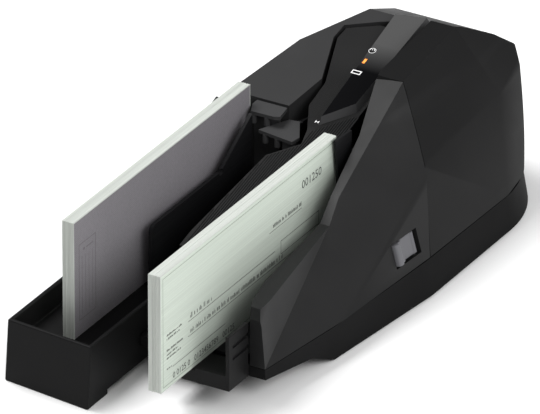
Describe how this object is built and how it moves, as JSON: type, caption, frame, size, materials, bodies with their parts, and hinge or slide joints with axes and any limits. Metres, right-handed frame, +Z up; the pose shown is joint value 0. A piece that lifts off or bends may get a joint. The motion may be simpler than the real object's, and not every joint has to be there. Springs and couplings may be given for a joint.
{
  "type": "cheque scanner",
  "caption": "Dark grey desktop cheque scanner with hinged covers over a curved document path, a feed lane and an exit pocket, each holding a stack of cheques.",
  "frame": {"origin": "centre of the footprint on the table", "axes": "+X to the scanner's right, +Y to its rear, +Z up; the feed lane and the exit pocket open towards -Y"},
  "size_m": [0.149, 0.359, 0.1084],
  "materials": {
    "dark_shell": "moulded, satin",
    "base_plastic": "moulded, fine texture",
    "inner_plastic": "moulded, matt",
    "gloss_strip": "polished",
    "button_plastic": "polished",
    "lamp": "translucent",
    "foot_rubber": "matt",
    "screw_steel": "turned",
    "motor_metal": "pressed",
    "bearing_brass": "turned",
    "reader_glass": "smooth",
    "black_plastic": "moulded",
    "board_green": "coated board",
    "cheque_paper": "printed"
  },
  "bodies": {
    "chassis": {"base_tray": "base_plastic", "board_chips": "black_plastic", "control_strip": "gloss_strip", "deck_bearings": "bearing_brass", "deck_plate": "inner_plastic", "deck_screws": "screw_steel", "diverter_pin": "screw_steel", "divider_plate": "inner_plastic", "drive_belt": "foot_rubber", "exit_pocket": "base_plastic", "exit_side_wall": "dark_shell", "feed_tray": "base_plastic", "flap_pin": "screw_steel", "front_hinge_pin": "screw_steel", "inner_exit_block": "inner_plastic", "island_housing": "dark_shell", "left_hinge_pin": "screw_steel", "left_sensor": "reader_glass", "main_board": "board_green", "motor_case": "motor_metal", "outer_exit_block": "inner_plastic", "power_socket": "black_plastic", "print_cartridge": "black_plastic", "reading_head": "reader_glass", "rear_hinge_pin": "screw_steel", "retard_guide": "inner_plastic", "retard_pin": "screw_steel", "rubber_feet": "foot_rubber", "spine_panel": "dark_shell", "status_lamp": "lamp", "upper_plate": "inner_plastic", "usb_socket": "motor_metal"},
    "front_cover_body": {"front_cover": "dark_shell", "lever_pin": "screw_steel"},
    "lever_body": {"cover_lever": "base_plastic"},
    "rear_cover_body": {"rear_cover": "dark_shell", "pinch_pin": "screw_steel", "right_sensor": "reader_glass"},
    "pinch_body": {"pinch_roller": "foot_rubber"},
    "left_cover_body": {"left_cover": "dark_shell", "exit_idler_pin": "screw_steel"},
    "exit_idler_body": {"exit_idler": "foot_rubber"},
    "button_body": {"power_button": "button_plastic"},
    "diverter_body": {"diverter_blade": "inner_plastic"},
    "flap_body": {"pressure_flap": "inner_plastic"},
    "motor_body": {"motor_rotor": "screw_steel"},
    "pick_body": {"pick_shaft": "screw_steel", "pick_tyres": "foot_rubber"},
    "feed_body": {"feed_shaft": "screw_steel", "feed_tyres": "foot_rubber"},
    "transport_body": {"transport_shaft": "screw_steel", "transport_tyres": "foot_rubber"},
    "exit_body": {"exit_shaft": "screw_steel", "exit_tyres": "foot_rubber"},
    "retard_body": {"retard_roller": "foot_rubber"},
    "feed_stack_body": {"feed_stack": "cheque_paper"},
    "exit_stack_body": {"exit_stack": "cheque_paper"}
  },
  "joints": [
    {"name": "front_cover_swing", "type": "hinge", "parent": "chassis", "child": "front_cover_body", "pos_m": [0.0495, -0.117, 0.035], "axis": [0, 0, -1], "range_deg": [0, 30]},
    {"name": "rear_cover_swing", "type": "hinge", "parent": "chassis", "child": "rear_cover_body", "pos_m": [0.0266, 0.16423, 0.035], "axis": [0, 0, 1], "range_deg": [0, 50]},
    {"name": "left_cover_swing", "type": "hinge", "parent": "chassis", "child": "left_cover_body", "pos_m": [-0.016, 0.16751, 0.035], "axis": [0, 0, -1], "range_deg": [0, 40]},
    {"name": "lever_swing", "type": "hinge", "parent": "front_cover_body", "child": "lever_body", "pos_m": [0.06273, 0.01607, 0.03166], "axis": [-0.2754, 0.0152, 0.9612], "range_deg": [0, 18], "stiffness_Nm_per_rad": 0.05},
    {"name": "button_press", "type": "slide", "parent": "chassis", "child": "button_body", "axis": [0, 0, -1], "range_m": [0, 0.0005], "stiffness_N_per_m": 400},
    {"name": "diverter_tip", "type": "hinge", "parent": "chassis", "child": "diverter_body", "pos_m": [-0.0205, 0.0425, 0.045], "axis": [0, 0, 1], "range_deg": [-6, 6]},
    {"name": "flap_press", "type": "hinge", "parent": "chassis", "child": "flap_body", "pos_m": [0.027, 0.016, 0.045], "axis": [0, 0, 1], "range_deg": [0, 12], "stiffness_Nm_per_rad": 0.02},
    {"name": "motor_turn", "type": "hinge", "parent": "chassis", "child": "motor_body", "pos_m": [-0.006, -0.024, 0.03], "axis": [0, 0, 1], "continuous": true},
    {"name": "pick_turn", "type": "hinge", "parent": "chassis", "child": "pick_body", "pos_m": [0.0099, -0.013, 0.03], "axis": [0, 0, 1], "continuous": true},
    {"name": "feed_turn", "type": "hinge", "parent": "chassis", "child": "feed_body", "pos_m": [0.0103, 0.034, 0.03], "axis": [0, 0, 1], "continuous": true},
    {"name": "transport_turn", "type": "hinge", "parent": "chassis", "child": "transport_body", "pos_m": [0.0101, 0.077, 0.03], "axis": [0, 0, 1], "continuous": true},
    {"name": "exit_turn", "type": "hinge", "parent": "chassis", "child": "exit_body", "pos_m": [-0.011, 0.058, 0.03], "axis": [0, 0, 1], "continuous": true},
    {"name": "retard_turn", "type": "hinge", "parent": "chassis", "child": "retard_body", "pos_m": [0.0201, 0.034, 0.04], "axis": [0, 0, 1], "continuous": true},
    {"name": "pinch_turn", "type": "hinge", "parent": "rear_cover_body", "child": "pinch_body", "pos_m": [0.0214, 0.077, 0.04], "axis": [0, 0, 1], "continuous": true},
    {"name": "exit_idler_turn", "type": "hinge", "parent": "left_cover_body", "child": "exit_idler_body", "pos_m": [-0.0221, 0.058, 0.04], "axis": [0, 0, 1], "continuous": true},
    {"name": "feed_stack_lift", "type": "slide", "parent": "chassis", "child": "feed_stack_body", "axis": [0, 0, 1], "range_m": [0, 0.08]},
    {"name": "exit_stack_lift", "type": "slide", "parent": "chassis", "child": "exit_stack_body", "axis": [0, 0, 1], "range_m": [0, 0.08]}
  ],
  "couplings": [
    {"joint": "feed_turn", "follows": "pick_turn", "ratio": 1},
    {"joint": "transport_turn", "follows": "pick_turn", "ratio": 1},
    {"joint": "exit_turn", "follows": "pick_turn", "ratio": 1},
    {"joint": "motor_turn", "follows": "pick_turn", "ratio": 1}
  ]
}
